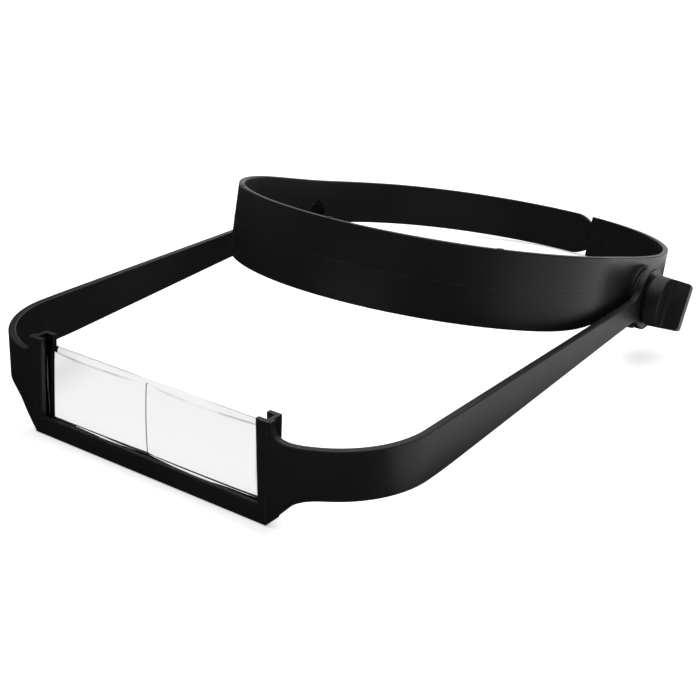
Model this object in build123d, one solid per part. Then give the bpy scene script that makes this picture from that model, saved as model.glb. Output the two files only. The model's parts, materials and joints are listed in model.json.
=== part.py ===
from build123d import *
from math import acos, asin, atan2, cos, degrees, hypot, radians, sin
import os

# Head visor magnifier, in millimetres.
# It stands as it is put down on a table: on the flat foot of its front frame and on the
# lower back edge of its head loop. +Z is up, -Y is ahead of the wearer, +X is the wearer's
# left, and X = 0 is the plane of symmetry. The origin is on the table, under the middle.

# --- head loop: a springy strip, described about the pivot axis before it is tipped ---
loop_half_width = 77.3       # outside of the strip, at the temples
loop_front = 104.8           # pivot axis to the outside of the forehead
loop_rear = 97.9             # pivot axis to the outside of the nape
straight_ahead = 33.9        # the straight temples start this far ahead of the pivots
straight_behind = 9.2        # and end this far behind them
strip_wall = 2.2
forehead_height = 27.6
nape_height = 18.6
upper_taper = (-85.0, 45.0)  # the upper rim comes down between these, from the pivots
lower_taper = (-67.0, -3.7)  # and the lower rim goes up between these
strip_rise = 4.9             # middle of the strip above the pivot axis
rim_round = 0.5
seam_width = 0.5             # raised line left by the two halves of the mould
seam_height = 0.12
gate_width = 1.4             # nubs on the upper rim
gate_height = 0.2
gate_spacing = 46.0          # degrees between nubs, round the forehead

# --- size adjuster at the nape ---
left_end_x = 15.5            # the left strap ends here, beside the nape
tongue_start_x = 6.5         # the right strap begins to narrow to its tongue
tongue_end_x = 46.0
tongue_drop = 2.8            # taken off the strip above and below the tongue
strap_gap = 0.4
tongue_wall = 2.0
keeper_start_x = 25.0
keeper_width = 8.0
keeper_wall = 1.5
keeper_sink = 0.3            # into the strap that carries it
tooth_pitch = 3.0
tooth_depth = 0.5
tooth_count = 7
fold_x = 20.5                # shallow valley that lets the left strap's end flex
fold_depth = 0.6
fold_radius = 9.0

# --- temple pivots ---
boss_radius = 12.5
boss_height = 1.6            # beyond the outside of the strip
bolt_radius = 2.5
bolt_head_radius = 6.0
bolt_head_height = 1.7
neck_margin = 0.1            # the square neck stands this far outside the shank
head_clearance = 0.3
friction_washer_radius = 11.0
friction_washer_thickness = 1.2
knob_washer_radius = 8.0
knob_washer_thickness = 1.0
running_fit = 0.08           # round a shank that turns in its hole
washer_fit = 0.3

# --- visor frame ---
frame_reach = 193.5          # pivot axis to the front face
frame_height = 33.6
opening_half_width = 43.0    # between the front lips, at the top
lip_draft = 1.3              # each lip is this much narrower at the foot
front_sill = 6.3             # top of the sill ahead of the lens
rear_sill = 4.6              # and behind it
front_lip = 1.7
rear_lip = 1.6
post_wall = 1.2              # outside the lens channel
arm_wall = 2.6
arm_outside_front = 80.0     # from the plane of symmetry to the outside of the arm
arm_front_top = 27.6
arm_front_bottom = 11.3
arm_back_top = 26.4
arm_back_bottom = 17.3
corner_radius = 36.0         # outside of each front corner
level_run = 8.0              # behind the corner the arm's edges stay level this far
eye_run = 24.0               # and again from this far ahead of the pivots
arm_bend = 250.0             # and then bend gently to their slopes
pivot_height = 22.8          # above the table
eye_radius = 12.0
eye_flare = 7.0
shoulder_drop = 1.2          # straight edge below the top of the post
shoulder_run = 12.0          # sideways run of the sweep from post to arm
edge_round = 0.3             # on the foot, the sills and the front lips
chamfer_run = 6.8
chamfer_rise = 7.6
foot_sweep_run = 10.0

# --- lens plate ---
plate_thickness = 3.2
channel_clearance = 0.2      # each side of the plate
plate_end_clearance = 0.3
channel_depth = 3.2          # behind each front lip
trough_floor = 3.0
lens_radius = 160.0          # of both magnifying faces
lens_side_margin = 0.6       # inside the lips
lens_sill_gap = 0.6          # above the sill
plate_drop = 3.0             # top of the plate below the tops of the posts

# --- wing knob ---
hub_radius = 10.0
hub_length = 5.7
hub_round = 0.8
knob_length = 14.4           # beyond the arm
blade_width = 18.4           # at its end; the hub and the blade taper together
blade_thickness = 3.4
blade_root = 2.0             # hollow where the blade leaves the hub
blade_corner = 1.2
blade_lean = 28.0            # degrees, top towards the nape
insert_radius = 4.0
insert_length = 5.0
bolt_tip_clearance = 0.3

# --- worked out from the sizes above ---
boss_face = loop_half_width + boss_height
eye_inside = boss_face + friction_washer_thickness
eye_outside = eye_inside + arm_wall
knob_seat = eye_outside + knob_washer_thickness
knob_end = eye_outside + knob_length
bolt_tip = knob_seat + insert_length
strip_inside = loop_half_width - strip_wall
channel_width = plate_thickness + 2 * channel_clearance
frame_depth = front_lip + channel_width + rear_lip
channel_half_width = opening_half_width + channel_depth
plate_half_width = channel_half_width - plate_end_clearance
frame_half_width = channel_half_width + post_wall
bolt_square = 2 * (bolt_radius + neck_margin)
plate_front = -frame_reach + front_lip + channel_clearance
# The loop is tipped back until its rounded lower back rim touches the table.
nape_round_y = loop_rear - rim_round
low_round_z = strip_rise - nape_height / 2 + rim_round
loop_tip = degrees(
    asin((pivot_height - rim_round) / hypot(nape_round_y, low_round_z)) - atan2(-low_round_z, nape_round_y)
)
plate_top = frame_height - plate_drop
lens_bottom = front_sill + lens_sill_gap
lens_half_width = (opening_half_width - lens_side_margin) / 2
lens_bulge = hypot(lens_half_width, (plate_top - lens_bottom) / 2) ** 2 / (2 * lens_radius)

wide = 400.0                 # longer than anything, for cutting tools


def tool(x_span, y_span, z_span):
    """A box between the given low and high values."""
    size = [high - low for low, high in (x_span, y_span, z_span)]
    centre = [(high + low) / 2 for low, high in (x_span, y_span, z_span)]
    return Pos(*centre) * Box(*size)


def disc(radius, x_low, x_high, hole=0.0):
    """A round plate about the pivot axis, on the wearer's left."""
    plate = Pos(x_low, 0, 0) * extrude(Plane.YZ * Circle(radius), amount=x_high - x_low)
    if hole:
        plate -= Pos(x_low - 1, 0, 0) * extrude(Plane.YZ * Circle(hole), amount=x_high - x_low + 2)
    return plate


def loop_plan(inset):
    """The loop seen from above: straight temples closed by two half ellipses."""
    half = loop_half_width - inset
    with BuildSketch() as plan:
        with BuildLine():
            front = EllipticalCenterArc(
                (0, -straight_ahead), half, loop_front - straight_ahead - inset, 180, arc_size=180
            )
            back = EllipticalCenterArc(
                (0, straight_behind), half, loop_rear - straight_behind - inset, 0, arc_size=180
            )
            Line(front @ 1, back @ 0)
            Line(back @ 1, front @ 0)
        make_face()
    return plan.sketch


def loop_ring(outer_inset, inner_inset, z_low=-wide / 2, z_high=wide / 2):
    """A closed wall between two insets of the loop."""
    outer = Pos(0, 0, z_low) * extrude(loop_plan(outer_inset), amount=z_high - z_low)
    inner = Pos(0, 0, z_low) * extrude(loop_plan(inner_inset), amount=z_high - z_low)
    return outer - inner


def strip_side():
    """The strip's side view: tall at the forehead, low at the nape, with smooth tapers."""
    tall = forehead_height / 2
    low = nape_height / 2
    with BuildSketch(Plane.YZ) as side:
        with BuildLine():
            for (start, end), sign in ((upper_taper, 1), (lower_taper, -1)):
                middle = (start + end) / 2
                Line((-wide / 2, strip_rise + sign * tall), (start, strip_rise + sign * tall))
                Bezier(
                    (start, strip_rise + sign * tall), (middle, strip_rise + sign * tall),
                    (middle, strip_rise + sign * low), (end, strip_rise + sign * low),
                )
                Line((end, strip_rise + sign * low), (wide / 2, strip_rise + sign * low))
            for end, half in ((-wide / 2, tall), (wide / 2, low)):
                Line((end, strip_rise - half), (end, strip_rise + half))
        make_face()
    return extrude(side.sketch, amount=wide / 2, both=True)


def nape_ring(outer_inset, inner_inset, x_span, half_height):
    """A stretch of wall at the nape, as high as asked about the strip's middle."""
    low, high = strip_rise - half_height, strip_rise + half_height
    return loop_ring(outer_inset, inner_inset, low, high) & tool(x_span, (straight_behind, wide), (low, high))


def size_adjuster(strip):
    """Opens the strip at the nape and laps its ends: a tongue in a keeper."""
    strap = nape_height / 2
    tongue = strap - tongue_drop
    run = left_end_x - strap_gap
    outside = strap_gap + tongue_wall
    # The right strap narrows in a curve and steps out behind the left strap.
    with BuildSketch(Plane.XZ) as waste:
        with BuildLine():
            for sign in (1, -1):
                Spline(
                    (tongue_start_x, sign * strap), (run, sign * tongue),
                    tangents=[(1, 0), (1, -2 * sign * tongue_drop / (run - tongue_start_x))],
                )
            Line((tongue_start_x, strap), (tongue_start_x, wide))
            Line((tongue_start_x, wide), (left_end_x, wide))
            Line((left_end_x, wide), (left_end_x, -wide))
            Line((left_end_x, -wide), (tongue_start_x, -wide))
            Line((tongue_start_x, -wide), (tongue_start_x, -strap))
            Line((run, tongue), (run, -tongue))
        make_face()
    strip -= Pos(0, straight_behind, strip_rise) * extrude(waste.sketch, amount=-wide)
    step = run - outside
    strip += nape_ring(-outside, strip_wall, (step, run), tongue)
    tail = nape_ring(-outside, -strap_gap, (step, tongue_end_x), tongue)
    # Shallow teeth across the tongue, clear of the keeper.
    for index in range(tooth_count):
        x = tongue_end_x - tooth_pitch * (index + 1)
        if abs(x - keeper_start_x - keeper_width / 2) > keeper_width / 2 + tooth_pitch / 2:
            tail -= nape_ring(-wide / 4, tooth_depth - outside, (x - tooth_depth, x + tooth_depth), strap)
    strip += tail
    # The keeper stands on the left strap and wraps over the tongue.
    reach = (keeper_start_x, keeper_start_x + keeper_width)
    around = outside + strap_gap
    keeper = nape_ring(-around - keeper_wall, keeper_sink, reach, tongue + strap_gap + keeper_wall)
    strip += keeper - nape_ring(-around, 0, reach, tongue + strap_gap)
    # The valley is turned out of the left strap's inner face.
    half, deep = loop_half_width - strip_wall, loop_rear - straight_behind - strip_wall
    angle = acos(fold_x / half)
    across = Vector(cos(angle) / half, sin(angle) / deep).normalized() * (fold_radius - fold_depth)
    valley = Pos(fold_x - across.X, straight_behind + deep * sin(angle) - across.Y, strip_rise)
    return strip - valley * Cylinder(fold_radius, 2 * nape_height)


def temple_boss():
    """The round pad that carries one pivot, with a seat for the bolt's head."""
    boss = disc(boss_radius, strip_inside, boss_face)
    rims = boss.edges().filter_by(GeomType.CIRCLE)
    return fillet(rims.group_by(Axis.X)[-1], rim_round)


def bolt_seat():
    """What one bolt needs cut from its boss: a round recess and a square hole."""
    recess = disc(bolt_head_radius + head_clearance, strip_inside - 1, strip_inside + bolt_head_height)
    side = bolt_square + 2 * running_fit
    hole = tool((strip_inside, boss_face + 1), (-side / 2, side / 2), (-side / 2, side / 2))
    return recess + hole


def headband():
    """The one-piece head loop with its bosses, adjuster and mould marks."""
    strip = loop_ring(0, strip_wall) & strip_side()
    strip = fillet(strip.edges().filter_by(Axis.Z, reverse=True), rim_round)
    seam = loop_ring(-seam_height, strip_wall / 2, strip_rise - seam_width / 2, strip_rise + seam_width / 2)
    strip += seam & tool((-wide, wide), (-wide, -straight_ahead), (-wide, wide))
    top = strip_rise + forehead_height / 2
    for index in (-1, 0, 1):
        angle = radians(270 + gate_spacing * index)
        x = loop_half_width * cos(angle)
        y = -straight_ahead + (loop_front - straight_ahead) * sin(angle)
        nub = loop_ring(rim_round, strip_wall - rim_round, top - 1, top + gate_height)
        strip += nub & tool(
            (x - gate_width / 2, x + gate_width / 2), (y - 4, y + 12), (top - 2, top + 2)
        )
    strip = size_adjuster(strip)
    boss = temple_boss()
    strip += boss + mirror(boss, about=Plane.YZ)
    seat = bolt_seat()
    strip -= seat + mirror(seat, about=Plane.YZ)
    return Rot(-loop_tip, 0, 0) * strip


def pivot_bolt():
    """A coach bolt: low domed head inside the loop, square neck, plain shank to the tip."""
    head = disc(bolt_head_radius, strip_inside + 0.2, strip_inside + bolt_head_height)
    head = fillet(head.edges().filter_by(GeomType.CIRCLE).group_by(Axis.X)[0], 0.9)
    half = bolt_square / 2
    neck = tool((strip_inside + bolt_head_height, boss_face - 0.3), (-half, half), (-half, half))
    shank = disc(bolt_radius, strip_inside + bolt_head_height, bolt_tip)
    shank = chamfer(shank.edges().filter_by(GeomType.CIRCLE).group_by(Axis.X)[-1], 0.5)
    return Rot(-loop_tip, 0, 0) * (head + neck + shank)


def friction_washer():
    """The washer that the arm's eye turns against."""
    return disc(friction_washer_radius, boss_face, eye_inside, bolt_radius + washer_fit)


def knob_washer():
    """The small washer between the arm's eye and the wing knob."""
    return disc(knob_washer_radius, eye_outside, knob_seat, bolt_radius + washer_fit)


def wing_knob():
    """A round hub that runs on into a flat blade to turn it by."""
    root = knob_seat + hub_length
    thin = blade_thickness / 2
    with BuildSketch(Plane.XY) as section:
        with BuildLine():
            for sign in (1, -1):
                Line((knob_seat, sign * hub_radius), (root, sign * hub_radius))
                Line((root, sign * hub_radius), (root, sign * (thin + blade_root)))
                RadiusArc(
                    (root, sign * (thin + blade_root)), (root + blade_root, sign * thin), sign * blade_root
                )
                Line((root + blade_root, sign * thin), (knob_end, sign * thin))
            Line((knob_seat, -hub_radius), (knob_seat, hub_radius))
            Line((knob_end, -thin), (knob_end, thin))
        make_face()
    length = knob_end - knob_seat
    core = Pos(knob_seat + length / 2, 0, 0) * Rot(0, 90, 0) * Cone(hub_radius, blade_width / 2, length)
    knob = core & extrude(section.sketch, amount=2 * hub_radius, both=True)
    knob = fillet(knob.edges().group_by(Axis.X)[0], hub_round)
    corners = [edge for edge in knob.edges().group_by(Axis.X)[-1] if edge.length < 2 * blade_thickness]
    knob = fillet(corners, blade_corner)
    knob -= disc(insert_radius, knob_seat - 1, bolt_tip + bolt_tip_clearance)
    return Rot(-blade_lean, 0, 0) * knob


def knob_insert():
    """The brass nut moulded into the hub."""
    return disc(insert_radius, knob_seat, bolt_tip, bolt_radius + running_fit)


def frame_outline():
    """The front frame and wings seen from ahead, on one side, as a cutting block."""
    post = frame_half_width
    with BuildSketch(Plane.XZ) as outline:
        with BuildLine():
            Line((0, 0), (post, 0))
            Line((post, 0), (post + chamfer_run, chamfer_rise))
            Spline(
                (post + chamfer_run, chamfer_rise),
                (post + chamfer_run + foot_sweep_run, arm_front_bottom),
                tangents=[(chamfer_run, chamfer_rise), (1, 0)],
            )
            Line((post + chamfer_run + foot_sweep_run, arm_front_bottom), (wide, arm_front_bottom))
            Line((wide, arm_front_bottom), (wide, arm_front_top))
            Line((wide, arm_front_top), (post + shoulder_run, arm_front_top))
            Spline(
                (post + shoulder_run, arm_front_top),
                (post + 1, frame_height - shoulder_drop),
                tangents=[(-1, 0), (0, 1)],
            )
            Line((post + 1, frame_height - shoulder_drop), (post + 1, frame_height))
            Line((post + 1, frame_height), (0, frame_height))
            Line((0, frame_height), (0, 0))
        make_face()
    return outline.sketch


def arm_side():
    """One arm seen from the side, from the front corner to the eye round the pivot."""
    straight = -frame_reach + corner_radius
    with BuildSketch(Plane.YZ) as side:
        with BuildLine():
            for front, back in ((arm_front_top, arm_back_top), (arm_front_bottom, arm_back_bottom)):
                FilletPolyline(
                    (straight, front), (straight + level_run, front), (-eye_run, back), (0, back),
                    radius=arm_bend,
                )
            Line((straight, arm_front_bottom), (straight, arm_front_top))
            Line((0, arm_back_bottom), (0, arm_back_top))
        make_face()
        with Locations((0, pivot_height)):
            Circle(eye_radius)
        inside = [
            vertex for vertex in side.vertices()
            if -eye_radius < vertex.X < 0 and abs(vertex.Y - pivot_height) < eye_radius
        ]
        fillet(inside, eye_flare)
    return side.sketch


def rounded_rims(wall):
    """Rounds the long upper and lower rims of a stretch of the arm."""
    rims = [
        edge for edge in wall.edges()
        if edge.length > 4 * arm_wall and abs((edge @ 1 - edge @ 0).Z) < edge.length / 2
    ]
    return fillet(rims, rim_round)


def visor_side():
    """One arm, front corner and post of the visor frame."""
    with BuildSketch() as plan:
        with BuildLine():
            half = arm_wall / 2
            start = Vector(opening_half_width + lip_draft, -frame_reach + half)
            turn = Vector(arm_outside_front - half, -frame_reach + half)
            bend = Vector(eye_outside - half, -eye_run)
            middle = (turn + bend) / 2
            FilletPolyline(start, turn, middle, radius=corner_radius - half)
            FilletPolyline(middle, bend, (eye_outside - half, eye_radius), radius=arm_bend)
        trace(line_width=arm_wall)
    wall = extrude(plan.sketch, amount=2 * pivot_height)
    straight = -frame_reach + corner_radius
    corner = extrude(frame_outline(), amount=wide, both=True)
    corner &= tool((-wide, wide), (-wide, straight), (-wide, wide))
    side = rounded_rims(wall & (corner + extrude(arm_side(), amount=wide)))
    hole = disc(bolt_radius + running_fit, eye_inside - 1, eye_outside + 1)
    return side - Pos(0, 0, pivot_height) * hole


def soft_edges(frame):
    """Rounds the foot, the tops of the sills and the inner edges of the front lips."""
    across = [
        edge for edge in frame.edges().filter_by(Axis.X)
        if edge.length > opening_half_width and not rear_sill > (edge @ 0).Z > 0.1
    ]
    upright = [
        edge for edge in frame.edges()
        if abs((edge @ 1 - edge @ 0).Z) > 0.9 * edge.length > edge.length / 2 > front_sill
        and abs((edge @ 0).X) < opening_half_width + 2 * lip_draft
        and abs((edge @ 0).Y + frame_reach) < front_lip / 2
    ]
    return fillet(across + upright, edge_round)


def visor_frame():
    """The one-piece visor: front frame with its lens channels, and both arms."""
    front = -frame_reach
    back = front + frame_depth
    block = extrude(frame_outline(), amount=wide, both=True)
    block &= tool((0, frame_half_width), (front, back), (-1, frame_height + 1))
    block += mirror(block, about=Plane.YZ)
    side = visor_side()
    frame = block + side + mirror(side, about=Plane.YZ)
    # The opening narrows a little towards the top, behind it the lens channel is parallel.
    low_half = opening_half_width + lip_draft
    with BuildSketch(Plane.XZ) as opening:
        with BuildLine():
            Polyline(
                (-low_half, front_sill), (low_half, front_sill),
                (opening_half_width, frame_height + 1), (-opening_half_width, frame_height + 1),
                (-low_half, front_sill),
            )
        make_face()
    frame -= Pos(0, back + 1, 0) * extrude(opening.sketch, amount=frame_depth + 2)
    frame -= tool((-low_half, low_half), (back - rear_lip - 0.1, back + 1), (rear_sill, front_sill + 1))
    frame -= tool(
        (-channel_half_width, channel_half_width),
        (front + front_lip, front + front_lip + channel_width),
        (trough_floor, frame_height + 1),
    )
    return soft_edges(frame)


def lens_plate():
    """The clear plate with two magnifying halves."""
    plate = tool(
        (-plate_half_width, plate_half_width),
        (plate_front, plate_front + plate_thickness),
        (trough_floor, plate_top),
    )
    middle = (lens_half_width, plate_front - lens_bulge + lens_radius, (lens_bottom + plate_top) / 2)
    lens = Pos(*middle) * Sphere(lens_radius)
    lens &= tool(
        (0, 2 * lens_half_width), (plate_front - lens_bulge - 1, plate_front + 1), (lens_bottom, plate_top)
    )
    return plate + lens + mirror(lens, about=Plane.YZ)


def main():
    os.makedirs("parts", exist_ok=True)
    pivot = Pos(0, 0, pivot_height)
    pieces = {"headband": pivot * headband(), "visor_frame": visor_frame(), "lens_plate": lens_plate()}
    paired = {
        "pivot_bolt": pivot_bolt(),
        "friction_washer": friction_washer(),
        "knob_washer": knob_washer(),
        "wing_knob": wing_knob(),
        "knob_insert": knob_insert(),
    }
    for name, piece in paired.items():
        pieces[f"left_{name}"] = pivot * piece
        pieces[f"right_{name}"] = pivot * mirror(piece, about=Plane.YZ)
    # The origin goes under the middle of the overall length.
    far_back = pieces["headband"].bounding_box().max.Y
    for name, piece in pieces.items():
        export_step(Pos(0, (frame_reach - far_back) / 2, 0) * piece, f"parts/{name}.step")


main()
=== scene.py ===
"""Looks for the head visor magnifier: finishes, eased edges, floor, light and camera."""

import json
import logging
import math
from dataclasses import dataclass, field
from enum import Enum

import bpy
from mathutils import Matrix, Vector

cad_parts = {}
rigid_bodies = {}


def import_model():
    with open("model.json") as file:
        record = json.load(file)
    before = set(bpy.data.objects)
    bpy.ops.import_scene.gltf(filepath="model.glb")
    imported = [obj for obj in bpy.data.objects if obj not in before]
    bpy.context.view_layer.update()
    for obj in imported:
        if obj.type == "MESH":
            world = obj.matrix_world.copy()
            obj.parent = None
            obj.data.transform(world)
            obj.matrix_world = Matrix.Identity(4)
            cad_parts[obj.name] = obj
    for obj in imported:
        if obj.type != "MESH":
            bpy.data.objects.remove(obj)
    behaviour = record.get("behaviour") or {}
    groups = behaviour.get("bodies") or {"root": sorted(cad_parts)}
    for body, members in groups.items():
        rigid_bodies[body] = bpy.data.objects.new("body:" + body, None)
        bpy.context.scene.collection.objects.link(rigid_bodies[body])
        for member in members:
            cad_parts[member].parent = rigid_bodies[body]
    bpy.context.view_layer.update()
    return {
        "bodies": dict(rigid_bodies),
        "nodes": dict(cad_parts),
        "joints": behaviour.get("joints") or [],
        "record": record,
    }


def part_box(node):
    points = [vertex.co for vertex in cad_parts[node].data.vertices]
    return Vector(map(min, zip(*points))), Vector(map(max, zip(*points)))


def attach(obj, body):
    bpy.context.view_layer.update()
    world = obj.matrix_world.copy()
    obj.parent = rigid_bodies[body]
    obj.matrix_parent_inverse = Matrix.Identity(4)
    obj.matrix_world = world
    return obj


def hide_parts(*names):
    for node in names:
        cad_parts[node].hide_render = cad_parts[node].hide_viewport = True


LOG = logging.getLogger("magnifier")

Colour = tuple[float, float, float]
Socket = bpy.types.NodeSocket

# Where each point of the dark card's 3 by 3 grid lies on the floor.
CARD_GRID = {
    (-1, -1): (-0.9, -0.9), (0, -1): (-0.15, -0.9), (1, -1): (0.6, -0.9),
    (-1, 0): (-0.9, 0.16), (0, 0): (-0.15, -0.2), (1, 0): (0.6, -0.14),
    (-1, 1): (-0.4, 0.16), (0, 1): (0.09, 0.16), (1, 1): (0.1, -0.12),
}
WHITE = (1.0, 1.0, 1.0, 1.0)


# ---------------------------------------------------------------- shader groups

FLOW_SHARE = 0.35                   # share of the flow marks in the skin's height
NOISE_MIDDLE = 0.5                  # mean of the noise
SCUFF_TILT = (0.2, 0.3)             # turn of every set of scuffs about X and Y
SCUFF_LAYS = (                      # turn about Z and stretch of each set of scuffs
    (0.4, (1.0, 14.0, 1.0)),
    (-0.9, (16.0, 1.0, 2.0)),
)
SCUFF_BAND = (0.66, 0.74)           # noise where a scuff begins and is full
DUST_BAND = (0.6, 0.72)             # noise where a speck begins and is full
UPWARD_BAND = (0.35, 0.95)          # Z of the normal where dust begins and is full
CORNER_BAND = (0.01, 0.12)          # loss of alignment where a corner begins and is full
BREAKUP_BAND = (0.3, 0.65)          # noise where the corner wear and the lens's painted edge shade begin and are full
CORNER_SAMPLES = 6


@dataclass
class NodeBench:
    """Adds and joins the nodes of one node tree.

    Attributes:
        name: Name of the group or material that has the tree.
        tree: The node tree.
    """

    name: str
    tree: bpy.types.NodeTree = field(init=False)

    def node(self, kind: str, **settings: object) -> bpy.types.Node:
        """Adds a node.

        Args:
            kind: Blender's node type.
            settings: Node properties to set.

        Returns:
            The new node.
        """
        made = self.tree.nodes.new(kind)
        for key, value in settings.items():
            setattr(made, key, value)
        return made

    def join(self, source: Socket, target: Socket) -> None:
        """Links two sockets."""
        self.tree.links.new(source, target)

    def maths(self, operation: str, *values: Socket | float) -> Socket:
        """Adds a Math node.

        Args:
            operation: The node's operation.
            values: A socket or a number for each of its inputs.

        Returns:
            The result's socket.
        """
        made = self.node("ShaderNodeMath", operation=operation)
        for slot, value in zip(made.inputs, values):
            if isinstance(value, Socket):
                self.join(value, slot)
            else:
                slot.default_value = value
        return made.outputs[0]

    def band(self, value: Socket, low: float, high: float) -> Socket:
        """Maps a value smoothly from 0 at low to 1 at high.

        Args:
            value: The socket to map.
            low: Where the result is 0.
            high: Where the result is 1.

        Returns:
            The mapped socket.
        """
        made = self.node("ShaderNodeMapRange", interpolation_type="SMOOTHSTEP")
        self.join(value, made.inputs["Value"])
        made.inputs["From Min"].default_value = low
        made.inputs["From Max"].default_value = high
        return made.outputs["Result"]


@dataclass
class GroupMaker(NodeBench):
    """Builds one shader node group, whose sockets are all numbers.

    Attributes:
        inputs: Input sockets as (name, default).
        outputs: Names of the output sockets.
    """

    inputs: list[tuple[str, float]]
    outputs: list[str]

    def __post_init__(self) -> None:
        """Makes the empty group with its sockets."""
        self.tree = bpy.data.node_groups.new(self.name, "ShaderNodeTree")
        add = self.tree.interface.new_socket
        for name, default in self.inputs:
            add(name=name, in_out="INPUT", socket_type="NodeSocketFloat").default_value = default
        for name in self.outputs:
            add(name=name, in_out="OUTPUT", socket_type="NodeSocketFloat")
        self.entry = self.node("NodeGroupInput")
        self.exit = self.node("NodeGroupOutput")


def moulded_skin_group() -> bpy.types.NodeTree:
    """Builds the fine spark-eroded grain of a moulded part, with slow flow marks under it.

    Returns:
        The group, which puts out Height, Gloss Shift and Tone.
    """
    made = GroupMaker(
        "moulded_skin",
        [
            ("Grain Scale", 2600.0),
            ("Grain", 0.5),
            ("Flow Scale", 22.0),
            ("Flow", 0.5),
        ],
        ["Height", "Gloss Shift", "Tone"],
    )
    place = made.node("ShaderNodeTexCoord")
    grain = made.node("ShaderNodeTexNoise", noise_dimensions="3D")
    grain.inputs["Detail"].default_value = 3.0
    grain.inputs["Roughness"].default_value = 0.6
    made.join(place.outputs["Object"], grain.inputs["Vector"])
    made.join(made.entry.outputs["Grain Scale"], grain.inputs["Scale"])
    flow = made.node("ShaderNodeTexNoise", noise_dimensions="3D")
    flow.inputs["Detail"].default_value = 2.5
    flow.inputs["Distortion"].default_value = 1.2
    made.join(place.outputs["Object"], flow.inputs["Vector"])
    made.join(made.entry.outputs["Flow Scale"], flow.inputs["Scale"])
    fine = made.maths("MULTIPLY", grain.outputs["Fac"], made.entry.outputs["Grain"])
    slow = made.maths("MULTIPLY", flow.outputs["Fac"], made.entry.outputs["Flow"])
    made.join(made.maths("ADD", fine, made.maths("MULTIPLY", slow, FLOW_SHARE)), made.exit.inputs["Height"])
    shift = made.maths("SUBTRACT", flow.outputs["Fac"], NOISE_MIDDLE)
    made.join(made.maths("MULTIPLY", shift, made.entry.outputs["Flow"]), made.exit.inputs["Gloss Shift"])
    made.join(flow.outputs["Fac"], made.exit.inputs["Tone"])
    return made.tree


def handling_group() -> bpy.types.NodeTree:
    """Builds the marks of use: thin scuffs in two directions, and dust on upward faces.

    Returns:
        The group, which puts out Scuffs and Dust.
    """
    made = GroupMaker(
        "handling_marks",
        [("Scuff Scale", 60.0), ("Dust Scale", 900.0)],
        ["Scuffs", "Dust"],
    )
    place = made.node("ShaderNodeTexCoord")
    found = []
    for turn, stretch in SCUFF_LAYS:
        lay = made.node("ShaderNodeMapping")
        lay.inputs["Rotation"].default_value = (*SCUFF_TILT, turn)
        lay.inputs["Scale"].default_value = stretch
        made.join(place.outputs["Object"], lay.inputs["Vector"])
        lines = made.node("ShaderNodeTexNoise", noise_dimensions="3D")
        lines.inputs["Detail"].default_value = 4.0
        lines.inputs["Roughness"].default_value = 0.7
        made.join(lay.outputs["Vector"], lines.inputs["Vector"])
        made.join(made.entry.outputs["Scuff Scale"], lines.inputs["Scale"])
        found.append(made.band(lines.outputs["Fac"], *SCUFF_BAND))
    made.join(made.maths("MAXIMUM", *found), made.exit.inputs["Scuffs"])
    specks = made.node("ShaderNodeTexNoise", noise_dimensions="3D")
    specks.inputs["Detail"].default_value = 2.0
    made.join(place.outputs["Object"], specks.inputs["Vector"])
    made.join(made.entry.outputs["Dust Scale"], specks.inputs["Scale"])
    shape = made.node("ShaderNodeNewGeometry")
    split = made.node("ShaderNodeSeparateXYZ")
    made.join(shape.outputs["Normal"], split.inputs["Vector"])
    up = made.band(split.outputs["Z"], *UPWARD_BAND)
    dust = made.maths("MULTIPLY", made.band(specks.outputs["Fac"], *DUST_BAND), up)
    made.join(dust, made.exit.inputs["Dust"])
    return made.tree


def wear_and_edge_shade_group() -> bpy.types.NodeTree:
    """Builds the mask of corners, where a rounded normal leaves the true one: wear on the plastic and
    metal, painted dark edge shade on the lens.

    Returns:
        The group, which puts out Wear And Edge Shade.
    """
    made = GroupMaker(
        "wear_and_edge_shade_mask",
        [("Radius", 0.0005), ("Breakup Scale", 350.0)],
        ["Rub"],
    )
    rounded = made.node("ShaderNodeBevel", samples=CORNER_SAMPLES)
    made.join(made.entry.outputs["Radius"], rounded.inputs["Radius"])
    shape = made.node("ShaderNodeNewGeometry")
    along = made.node("ShaderNodeVectorMath", operation="DOT_PRODUCT")
    made.join(rounded.outputs["Normal"], along.inputs[0])
    made.join(shape.outputs["Normal"], along.inputs[1])
    edge = made.band(made.maths("SUBTRACT", 1.0, along.outputs["Value"]), *CORNER_BAND)
    place = made.node("ShaderNodeTexCoord")
    patchy = made.node("ShaderNodeTexNoise", noise_dimensions="3D")
    patchy.inputs["Detail"].default_value = 3.0
    made.join(place.outputs["Object"], patchy.inputs["Vector"])
    made.join(made.entry.outputs["Breakup Scale"], patchy.inputs["Scale"])
    wear_and_edge_shade = made.maths("MULTIPLY", edge, made.band(patchy.outputs["Fac"], *BREAKUP_BAND))
    made.join(wear_and_edge_shade, made.exit.inputs["Rub"])
    return made.tree


@dataclass
class Groups:
    """The shader groups that the finishes share."""

    skin: bpy.types.NodeTree = field(default_factory=moulded_skin_group)
    handling: bpy.types.NodeTree = field(default_factory=handling_group)
    wear_and_edge_shade: bpy.types.NodeTree = field(default_factory=wear_and_edge_shade_group)


# ---------------------------------------------------------------- finishes


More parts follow.
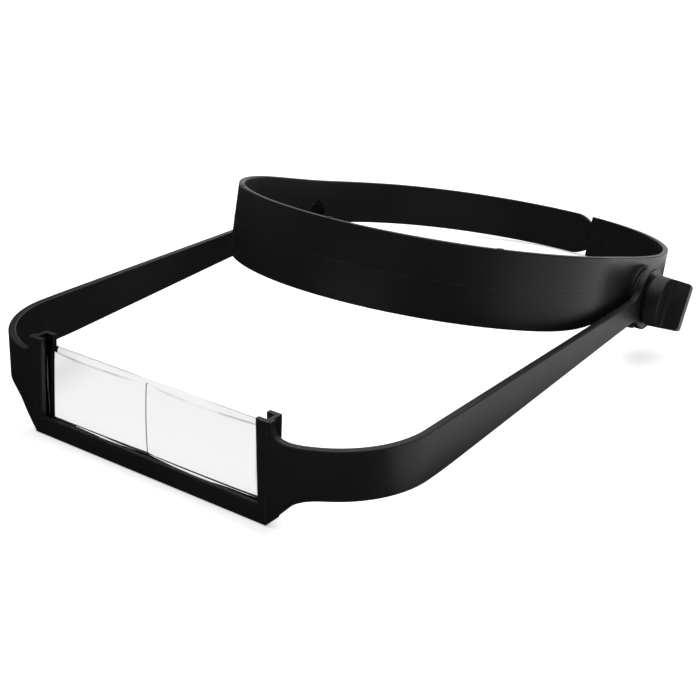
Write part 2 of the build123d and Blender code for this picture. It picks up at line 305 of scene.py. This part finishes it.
@dataclass
class Dresser(NodeBench):
    """Lays out one material round its Principled shader."""

    def __post_init__(self) -> None:
        """Makes the material with a bare Principled shader."""
        self.material = bpy.data.materials.new(self.name)
        self.material.use_nodes = True
        self.tree = self.material.node_tree
        self.shader = self.tree.nodes["Principled BSDF"]

    def set(self, **values: object) -> None:
        """Sets inputs of the shader, with underscores for spaces in their names."""
        for key, value in values.items():
            self.shader.inputs[key.replace("_", " ")].default_value = value

    def show(self, value: Socket, name: str) -> None:
        """Links a value to one of the shader's inputs."""
        self.join(value, self.shader.inputs[name])

    def group(self, tree: bpy.types.NodeTree, **values: float) -> bpy.types.Node:
        """Places a shader group.

        Args:
            tree: The group.
            values: Input values, with underscores for spaces.

        Returns:
            The group's node.
        """
        made = self.node("ShaderNodeGroup", node_tree=tree)
        for key, value in values.items():
            made.inputs[key.replace("_", " ")].default_value = value
        return made

    def mix(self, mask: Socket, below: Socket | Colour, above: Socket | Colour) -> Socket:
        """Mixes two colours by a mask.

        Args:
            mask: 0 shows the first colour, 1 the second.
            below: A colour or a socket.
            above: A colour or a socket.

        Returns:
            The mixed colour.
        """
        made = self.node("ShaderNodeMix", data_type="RGBA")
        self.join(mask, made.inputs["Factor"])
        for slot, value in ((made.inputs[6], below), (made.inputs[7], above)):
            if isinstance(value, Socket):
                self.join(value, slot)
            else:
                slot.default_value = (*value, 1.0)
        return made.outputs[2]

    def rough(self, shift: Socket, swing: float, level: float) -> Socket:
        """Works out a roughness that follows the skin.

        Args:
            shift: The skin's gloss shift.
            swing: How strongly it is followed.
            level: The roughness where the shift is 0.

        Returns:
            The roughness.
        """
        return self.maths("ADD", self.maths("MULTIPLY", shift, swing), level)

    def bump(self, height: Socket, depth: float) -> None:
        """Bumps the surface by a height.

        Args:
            height: The height, from 0 to 1.
            depth: What a height of 1 stands for, in metres.
        """
        made = self.node("ShaderNodeBump")
        made.inputs["Distance"].default_value = depth
        made.inputs["Strength"].default_value = 1.0
        self.join(height, made.inputs["Height"])
        self.show(made.outputs["Normal"], "Normal")


@dataclass(frozen=True)
class PlasticFinish:
    """Black injection-moulded plastic.

    Attributes:
        name: Name of the material.
        body: Colour of the plastic.
        bloom: Paler colour where the skin cooled slowly.
        worn: Colour of rubbed corners.
        roughness: Roughness of the skin.
        grain_scale: Fineness of the grain.
        grain_depth: Depth of the grain, in metres.
        scuffs: How much scuffs show.
        dust: How much dust shows.
        dust_colour: Colour of the dust.
        worn_share: How much of the worn colour a rubbed corner shows.
        gloss_swing: How strongly the roughness follows the skin.
        rub_polish: Roughness lost at a rubbed corner.
        scuff_depth: Depth of a scuff, as a share of the grain's.
        bend: Index of refraction.
        sheen: Level of the clear reflection.
    """

    name: str
    body: Colour
    bloom: Colour
    worn: Colour
    roughness: float
    grain_scale: float
    grain_depth: float
    scuffs: float
    dust: float
    dust_colour: Colour = (0.32, 0.31, 0.29)
    worn_share: float = 0.6
    gloss_swing: float = 0.25
    rub_polish: float = 0.08
    scuff_depth: float = 0.2
    bend: float = 1.49
    sheen: float = 0.22

    def make(self, groups: Groups) -> bpy.types.Material:
        """Builds the material.

        Args:
            groups: The shared shader groups.

        Returns:
            The material.
        """
        dress = Dresser(self.name)
        skin = dress.group(groups.skin, Grain_Scale=self.grain_scale)
        marks = dress.group(groups.handling)
        wear_and_edge_shade = dress.group(groups.wear_and_edge_shade)
        colour = dress.mix(skin.outputs["Tone"], self.body, self.bloom)
        colour = dress.mix(dress.maths("MULTIPLY", wear_and_edge_shade.outputs["Rub"], self.worn_share), colour, self.worn)
        dusty = dress.maths("MULTIPLY", marks.outputs["Dust"], self.dust)
        dress.show(dress.mix(dusty, colour, self.dust_colour), "Base Color")
        scuffed = dress.maths("MULTIPLY", marks.outputs["Scuffs"], self.scuffs)
        rough = dress.rough(skin.outputs["Gloss Shift"], self.gloss_swing, self.roughness)
        rough = dress.maths("ADD", rough, scuffed)
        polished = dress.maths("MULTIPLY", wear_and_edge_shade.outputs["Rub"], self.rub_polish)
        dress.show(dress.maths("SUBTRACT", rough, polished), "Roughness")
        dress.set(IOR=self.bend, Specular_IOR_Level=self.sheen)
        cut = dress.maths("MULTIPLY", marks.outputs["Scuffs"], self.scuff_depth)
        dress.bump(dress.maths("SUBTRACT", skin.outputs["Height"], cut), self.grain_depth)
        return dress.material


@dataclass(frozen=True)
class AcrylicFinish:
    """Clear cast acrylic with faint wiping marks and a seam between its halves, with painted dark shade
    along its edges and down the seam.

    Attributes:
        name: Name of the material.
        tint_and_shade: Colour of the plastic, darkened well past clear acrylic as painted shade so that the
            glowing floor seen through it stays grey.
        edge: Dark colour painted along its edges and down its seam: painted shade.
        seam: Width of the painted dark line down the seam, in metres.
        bend: How strongly it bends light.
        roughness: Roughness where it is clean.
        wiped: Extra roughness in the wiping marks.
        wipe_scale: Fineness of the wiping marks.
        edge_reach: How far the painted edge shade reaches, in metres.
        edge_breakup: Fineness of the gaps in the painted edge shade.
        dust: How much dust shows.
        dust_colour: Colour of the dust.
    """

    name: str
    tint_and_shade: Colour
    edge: Colour
    seam: float
    bend: float
    roughness: float
    wiped: float
    wipe_scale: float = 45.0
    edge_reach: float = 0.0013
    edge_breakup: float = 60.0
    dust: float = 0.05
    dust_colour: Colour = (0.9, 0.9, 0.88)

    def make(self, groups: Groups, middle: float) -> bpy.types.Material:
        """Builds the material.

        Args:
            groups: The shared shader groups.
            middle: Y of the middle of the plate; the painted seam line lies ahead of it.

        Returns:
            The material.
        """
        dress = Dresser(self.name)
        marks = dress.group(groups.handling, Scuff_Scale=self.wipe_scale)
        dress.set(Transmission_Weight=1.0, IOR=self.bend)
        painted_edge_shade = dress.group(groups.wear_and_edge_shade, Radius=self.edge_reach, Breakup_Scale=self.edge_breakup)
        dusty = dress.maths("MULTIPLY", marks.outputs["Dust"], self.dust)
        # Painted shade: the tint is darkened well past clear acrylic, so the glowing floor seen through the
        # plate stays grey.
        colour = dress.mix(dusty, self.tint_and_shade, self.dust_colour)
        # Painted shade: the dark edge colour laid along the plate's edges.
        colour = dress.mix(painted_edge_shade.outputs["Rub"], colour, self.edge)
        split = dress.node("ShaderNodeSeparateXYZ")
        dress.join(dress.node("ShaderNodeTexCoord").outputs["Object"], split.inputs["Vector"])
        # Painted shade: the dark edge colour laid in a thin line down the seam, on the front half of the
        # plate.
        beside = dress.maths("COMPARE", split.outputs["X"], 0.0, self.seam / 2)
        ahead = dress.maths("LESS_THAN", split.outputs["Y"], middle)
        colour = dress.mix(dress.maths("MULTIPLY", beside, ahead), colour, self.edge)
        dress.show(colour, "Base Color")
        wiped = dress.maths("MULTIPLY", marks.outputs["Scuffs"], self.wiped)
        dress.show(dress.maths("ADD", wiped, self.roughness), "Roughness")
        return dress.material


@dataclass(frozen=True)
class MetalFinish:
    """Turned or plated metal.

    Attributes:
        name: Name of the material.
        clean: Colour of the metal.
        dull: Colour where it has tarnished.
        roughness: Roughness of the metal.
        turning_scale: Fineness of the tool marks.
        turning_depth: Depth of the tool marks, in metres.
        tarnish_scale: Fineness of the tarnish.
        gloss_swing: How strongly the roughness follows the tarnish.
    """

    name: str
    clean: Colour
    dull: Colour
    roughness: float
    turning_scale: float
    turning_depth: float = 0.00002
    tarnish_scale: float = 160.0
    gloss_swing: float = 0.4

    def make(self, groups: Groups) -> bpy.types.Material:
        """Builds the material.

        Args:
            groups: The shared shader groups.

        Returns:
            The material.
        """
        dress = Dresser(self.name)
        skin = dress.group(groups.skin, Grain_Scale=self.turning_scale, Flow_Scale=self.tarnish_scale)
        wear_and_edge_shade = dress.group(groups.wear_and_edge_shade)
        colour = dress.mix(skin.outputs["Tone"], self.clean, self.dull)
        dress.show(dress.mix(wear_and_edge_shade.outputs["Rub"], colour, self.clean), "Base Color")
        dress.show(dress.rough(skin.outputs["Gloss Shift"], self.gloss_swing, self.roughness), "Roughness")
        dress.set(Metallic=1.0)
        dress.bump(skin.outputs["Height"], self.turning_depth)
        return dress.material


@dataclass(frozen=True)
class RubberFinish:
    """Soft black washer stock.

    Attributes:
        name: Name of the material.
        body: Colour of the rubber.
        chalky: Paler colour of its bloom.
        roughness: Roughness of the rubber.
        grain_scale: Fineness of the grain.
        grain_depth: Depth of the grain, in metres.
        bloom_scale: Fineness of the bloom.
        gloss_swing: How strongly the roughness follows the bloom.
        dust: How much dust shows.
        dust_colour: Colour of the dust.
    """

    name: str
    body: Colour
    chalky: Colour
    roughness: float
    grain_scale: float = 3800.0
    grain_depth: float = 0.00004
    bloom_scale: float = 120.0
    gloss_swing: float = 0.2
    dust: float = 0.3
    dust_colour: Colour = (0.3, 0.29, 0.27)

    def make(self, groups: Groups) -> bpy.types.Material:
        """Builds the material.

        Args:
            groups: The shared shader groups.

        Returns:
            The material.
        """
        dress = Dresser(self.name)
        skin = dress.group(groups.skin, Grain_Scale=self.grain_scale, Flow_Scale=self.bloom_scale)
        marks = dress.group(groups.handling)
        colour = dress.mix(skin.outputs["Tone"], self.body, self.chalky)
        dusty = dress.maths("MULTIPLY", marks.outputs["Dust"], self.dust)
        dress.show(dress.mix(dusty, colour, self.dust_colour), "Base Color")
        dress.show(dress.rough(skin.outputs["Gloss Shift"], self.gloss_swing, self.roughness), "Roughness")
        dress.bump(skin.outputs["Height"], self.grain_depth)
        return dress.material


BAND_PLASTIC = PlasticFinish(
    "band_plastic_satin",
    body=(0.006, 0.006, 0.0065), bloom=(0.011, 0.011, 0.012), worn=(0.05, 0.05, 0.052),
    roughness=0.36, grain_scale=2600.0, grain_depth=0.00003, scuffs=0.10, dust=0.10,
)
VISOR_PLASTIC = PlasticFinish(
    "visor_plastic_satin",
    body=(0.006, 0.006, 0.0065), bloom=(0.012, 0.012, 0.013), worn=(0.05, 0.05, 0.052),
    roughness=0.40, grain_scale=2400.0, grain_depth=0.00004, scuffs=0.12, dust=0.12,
)
KNOB_PLASTIC = PlasticFinish(
    "knob_plastic_matte",
    body=(0.007, 0.007, 0.0075), bloom=(0.012, 0.012, 0.013), worn=(0.06, 0.06, 0.062),
    roughness=0.46, grain_scale=2000.0, grain_depth=0.00005, scuffs=0.14, dust=0.10,
)
WASHER_NYLON = PlasticFinish(
    "washer_nylon_matte",
    body=(0.008, 0.008, 0.0085), bloom=(0.014, 0.014, 0.015), worn=(0.04, 0.04, 0.04),
    roughness=0.5, grain_scale=3000.0, grain_depth=0.00003, scuffs=0.08, dust=0.10,
)
# The dark edge colour is painted shade along the plate's edges and down its seam.
LENS_ACRYLIC = AcrylicFinish(
    "lens_acrylic_clear",
    # Painted shade: the tint is darkened well past clear acrylic, so the glowing floor seen through the
    # plate stays grey.
    tint_and_shade=(0.66, 0.665, 0.665), edge=(0.05, 0.05, 0.05),
    seam=0.0005, bend=1.1, roughness=0.0, wiped=0.04,
)
BOLT_STEEL = MetalFinish(
    "bolt_steel_blacked",
    clean=(0.035, 0.034, 0.034), dull=(0.02, 0.02, 0.02), roughness=0.45, turning_scale=1500.0,
)
INSERT_BRASS = MetalFinish(
    "insert_brass_turned",
    clean=(0.78, 0.58, 0.26), dull=(0.5, 0.36, 0.16), roughness=0.25, turning_scale=1800.0,
)
WASHER_RUBBER = RubberFinish(
    "washer_rubber_soft", body=(0.01, 0.01, 0.01), chalky=(0.022, 0.022, 0.021), roughness=0.72,
)


# ---------------------------------------------------------------- sub-assemblies


class Side(Enum):
    """The wearer's two sides, by their names in node names."""

    LEFT = "left"
    RIGHT = "right"


def dress_piece(piece: bpy.types.Object, material: bpy.types.Material) -> None:
    """Gives a piece its finish.

    Args:
        piece: The piece.
        material: The finish.
    """
    piece.data.materials.clear()
    piece.data.materials.append(material)
    LOG.info("%s wears %s", piece.name, material.name)


def dress_node(frame: dict, node: str, material: bpy.types.Material) -> None:
    """Gives a fixed node its finish.

    Args:
        node: Name of the node.
        material: The finish.
    """
    dress_piece(frame["nodes"][node], material)


@dataclass(frozen=True)
class EasedEdges:
    """Edges eased by moulding or polishing, on a piece that stands in for a fixed node.

    Attributes:
        width: Width of the easing, in metres.
        segments: Steps round each eased edge.
        least_angle: Edges that turn less than this, in degrees, stay as they are.
        weld: Points nearer than this are one, in metres.
        flat_angle: Faces that turn less than this, in degrees, are one.
    """

    width: float
    segments: int = 3
    least_angle: float = 38.0
    weld: float = 1e-6
    flat_angle: float = 0.5

    def stand_in(self, frame: dict, node: str, body: str, slot: str) -> bpy.types.Object:
        """Copies a node's shape, eases its edges and puts it in the node's place.

        Args:
            node: Name of the node.
            body: The body that it rides on.
            slot: Not used.

        Returns:
            The new piece.
        """
        made = bpy.data.objects.new(f"{node}_eased", frame["nodes"][node].data.copy())
        bpy.context.scene.collection.objects.link(made)
        bpy.ops.object.select_all(action="DESELECT")
        made.select_set(True)
        bpy.context.view_layer.objects.active = made
        if made.data.has_custom_normals:
            bpy.ops.mesh.customdata_custom_splitnormals_clear()
        bpy.ops.object.mode_set(mode="EDIT")
        bpy.ops.mesh.select_all(action="SELECT")
        bpy.ops.mesh.remove_doubles(threshold=self.weld)
        bpy.ops.mesh.dissolve_limited(angle_limit=math.radians(self.flat_angle))
        bpy.ops.mesh.normals_make_consistent(inside=False)
        bpy.ops.object.mode_set(mode="OBJECT")
        easing = made.modifiers.new("easing", "BEVEL")
        easing.width, easing.segments = self.width, self.segments
        easing.limit_method, easing.angle_limit = "ANGLE", math.radians(self.least_angle)
        bpy.ops.object.modifier_apply(modifier=easing.name)
        bpy.ops.object.shade_smooth_by_angle(angle=math.radians(self.least_angle))
        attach(made, body)
        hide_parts(node)
        return made


@dataclass
class SubAssembly:
    """What the sub-assemblies share.

    Attributes:
        groups: The shared shader groups.
    """

    frame: dict
    groups: Groups


@dataclass
class HeadLoop(SubAssembly):
    """The head loop with its bosses and adjuster, and the hardware fixed to it."""

    def build(self) -> None:
        """Dresses the loop, the bolts and the friction washers."""
        dress_node(self.frame, "headband", BAND_PLASTIC.make(self.groups))
        steel = BOLT_STEEL.make(self.groups)
        rubber = WASHER_RUBBER.make(self.groups)
        for side in Side:
            dress_node(self.frame, f"{side.value}_pivot_bolt", steel)
            dress_node(self.frame, f"{side.value}_friction_washer", rubber)


@dataclass
class Visor(SubAssembly):
    """The visor frame with its arms, and the lens plate in it.

    Attributes:
        plate_edges: Easing of the lens plate's edges.
    """

    plate_edges: EasedEdges = EasedEdges(0.00025)

    def build(self) -> None:
        """Dresses the frame, and makes and dresses the lens plate."""
        dress_node(self.frame, "visor_frame", VISOR_PLASTIC.make(self.groups))
        plate = self.plate_edges.stand_in(self.frame, "lens_plate", "lens", "lens_acrylic")
        low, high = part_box("lens_plate")
        dress_piece(plate, LENS_ACRYLIC.make(self.groups, (low[1] + high[1]) / 2))


@dataclass
class Knobs(SubAssembly):
    """The two wing knobs with their inserts and washers.

    Attributes:
        knob_edges: Easing of the knobs' edges.
    """

    knob_edges: EasedEdges = EasedEdges(0.0004)

    def build(self) -> None:
        """Makes and dresses the knobs, and dresses their inserts and washers."""
        plastic = KNOB_PLASTIC.make(self.groups)
        brass = INSERT_BRASS.make(self.groups)
        nylon = WASHER_NYLON.make(self.groups)
        for side in Side:
            body, node = f"{side.value}_knob", f"{side.value}_wing_knob"
            knob = self.knob_edges.stand_in(self.frame, node, body, "knob_plastic")
            dress_piece(knob, plastic)
            dress_node(self.frame, f"{side.value}_knob_insert", brass)
            dress_node(self.frame, f"{side.value}_knob_washer", nylon)


# ---------------------------------------------------------------- studio


@dataclass
class Studio:
    """Pale floor, soft lights and the camera, with lengths in metres.

    Attributes:
        pivot: The visor's pivot on the middle plane.
        floor_size: Width of the floor.
        floor_level: Height of the floor.
        floor_colour: Colour of the floor.
        floor_glow: How strongly the floor shines by itself.
        card_level: Height of the dark card.
        surround: Strength of the light from all round.
        sensor_width: Width of the camera's sensor, in millimetres.
        focal_length: Focal length of its lens, in millimetres.
        camera_place: The camera's place, with Y from the pivot.
        camera_right: Direction of the picture's right.
        camera_up: Direction of the picture's top.
    """

    pivot: Vector
    floor_size: float = 9.0
    floor_level: float = -0.0002
    floor_colour: Colour = (0.93, 0.93, 0.93)
    floor_glow: float = 0.52
    card_level: float = 0.0001
    surround: float = 0.06
    sensor_width: float = 36.0
    focal_length: float = 66.86
    camera_place: tuple[float, float, float] = (0.24536, -0.45321, 0.19765)
    camera_right: tuple[float, float, float] = (0.82294, 0.56636, 0.04471)
    camera_up: tuple[float, float, float] = (-0.25885, 0.30373, 0.91692)

    def floor(self) -> None:
        """Lays the floor, which shines a little so that it stays white."""
        bpy.ops.object.select_all(action="DESELECT")
        bpy.ops.mesh.primitive_plane_add(size=self.floor_size, location=(0.0, 0.0, self.floor_level))
        made = bpy.context.object
        made.name = "floor"
        dress = Dresser("floor_paper")
        dress.set(Base_Color=(*self.floor_colour, 1.0), Roughness=0.9, Specular_IOR_Level=0.1)
        dress.set(Emission_Color=WHITE, Emission_Strength=self.floor_glow)
        made.data.materials.append(dress.material)

    def dark_card(self) -> None:
        """Lays a black card round the object that only reflections can see."""
        bpy.ops.object.select_all(action="DESELECT")
        bpy.ops.mesh.primitive_plane_add(size=1.0, location=(0.0, 0.0, 0.0))
        made = bpy.context.object
        made.name = "dark_card"
        bpy.ops.object.mode_set(mode="EDIT")
        bpy.ops.mesh.subdivide(number_cuts=1)
        bpy.ops.object.mode_set(mode="OBJECT")
        for vertex in made.data.vertices:
            grid = round(2 * vertex.co.x), round(2 * vertex.co.y)
            vertex.co = (*CARD_GRID[grid], self.card_level)
        dress = Dresser("card_black")
        dress.set(Base_Color=(0.002, 0.002, 0.002, 1.0), Specular_IOR_Level=0.0)
        made.data.materials.append(dress.material)
        for ray in ("camera", "diffuse", "transmission", "shadow", "volume_scatter"):
            setattr(made, f"visible_{ray}", False)

    def softbox(
        self, name: str, place: tuple[float, float, float], size: tuple[float, float], watts: float
    ) -> None:
        """Hangs a soft light that faces the pivot.

        Args:
            name: Name of the light.
            place: Its place from the pivot.
            size: Its width and height.
            watts: Its power.
        """
        data = bpy.data.lights.new(name, "AREA")
        data.shape = "RECTANGLE"
        data.size, data.size_y = size
        data.energy = watts
        lamp = bpy.data.objects.new(name, data)
        bpy.context.scene.collection.objects.link(lamp)
        lamp.location = self.pivot + Vector(place)
        lamp.rotation_euler = (-Vector(place)).to_track_quat("-Z", "Y").to_euler()

    def lights(self) -> None:
        """Hangs lights above, on the wearer's left and behind, in a dim surround that looks white."""
        self.softbox("top_light", (0.0, 0.3, 1.6), (2.4, 2.4), 40.0)
        self.softbox("left_light", (1.3, 0.5, 0.45), (0.9, 0.7), 1.0)
        self.softbox("back_light", (-0.6, 1.6, 0.7), (1.6, 0.8), 5.5)
        world = bpy.data.worlds.new("surround")
        world.use_nodes = True
        nodes, links = world.node_tree.nodes, world.node_tree.links
        background = nodes["Background"].inputs
        background["Color"].default_value = WHITE
        seen = nodes.new("ShaderNodeLightPath")
        level = nodes.new("ShaderNodeMath")
        level.operation = "MAXIMUM"
        level.inputs[1].default_value = self.surround
        links.new(seen.outputs["Is Camera Ray"], level.inputs[0])
        links.new(level.outputs[0], background["Strength"])
        bpy.context.scene.world = world

    def camera(self) -> None:
        """Sets up the camera ahead of the wearer's left side."""
        data = bpy.data.cameras.new("camera")
        data.sensor_width = self.sensor_width
        data.lens = self.focal_length
        data.clip_start, data.clip_end = 0.01, 50.0
        made = bpy.data.objects.new("camera", data)
        bpy.context.scene.collection.objects.link(made)
        right, up = Vector(self.camera_right), Vector(self.camera_up)
        turn = Matrix((right, up, right.cross(up))).transposed().to_4x4()
        place = Vector(self.camera_place) + Vector((0.0, self.pivot.y, 0.0))
        made.matrix_world = Matrix.Translation(place) @ turn
        bpy.context.scene.camera = made

    def build(self) -> None:
        """Builds the whole studio."""
        self.floor()
        self.dark_card()
        self.lights()
        self.camera()
        bpy.context.scene.view_settings.view_transform = "Standard"


def main() -> None:
    """Builds the magnifier's looks and the studio round it."""
    logging.basicConfig(level=logging.INFO, format="%(name)s: %(message)s")
    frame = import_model()
    tilt = next(joint for joint in frame["joints"] if joint["name"] == "visor_tilt")
    groups = Groups()
    Studio(Vector(tilt["pos_m"])).build()
    for assembly in (HeadLoop(frame, groups), Visor(frame, groups), Knobs(frame, groups)):
        assembly.build()
        LOG.info("%s is done", type(assembly).__name__)


if __name__ == "__main__":
    main()
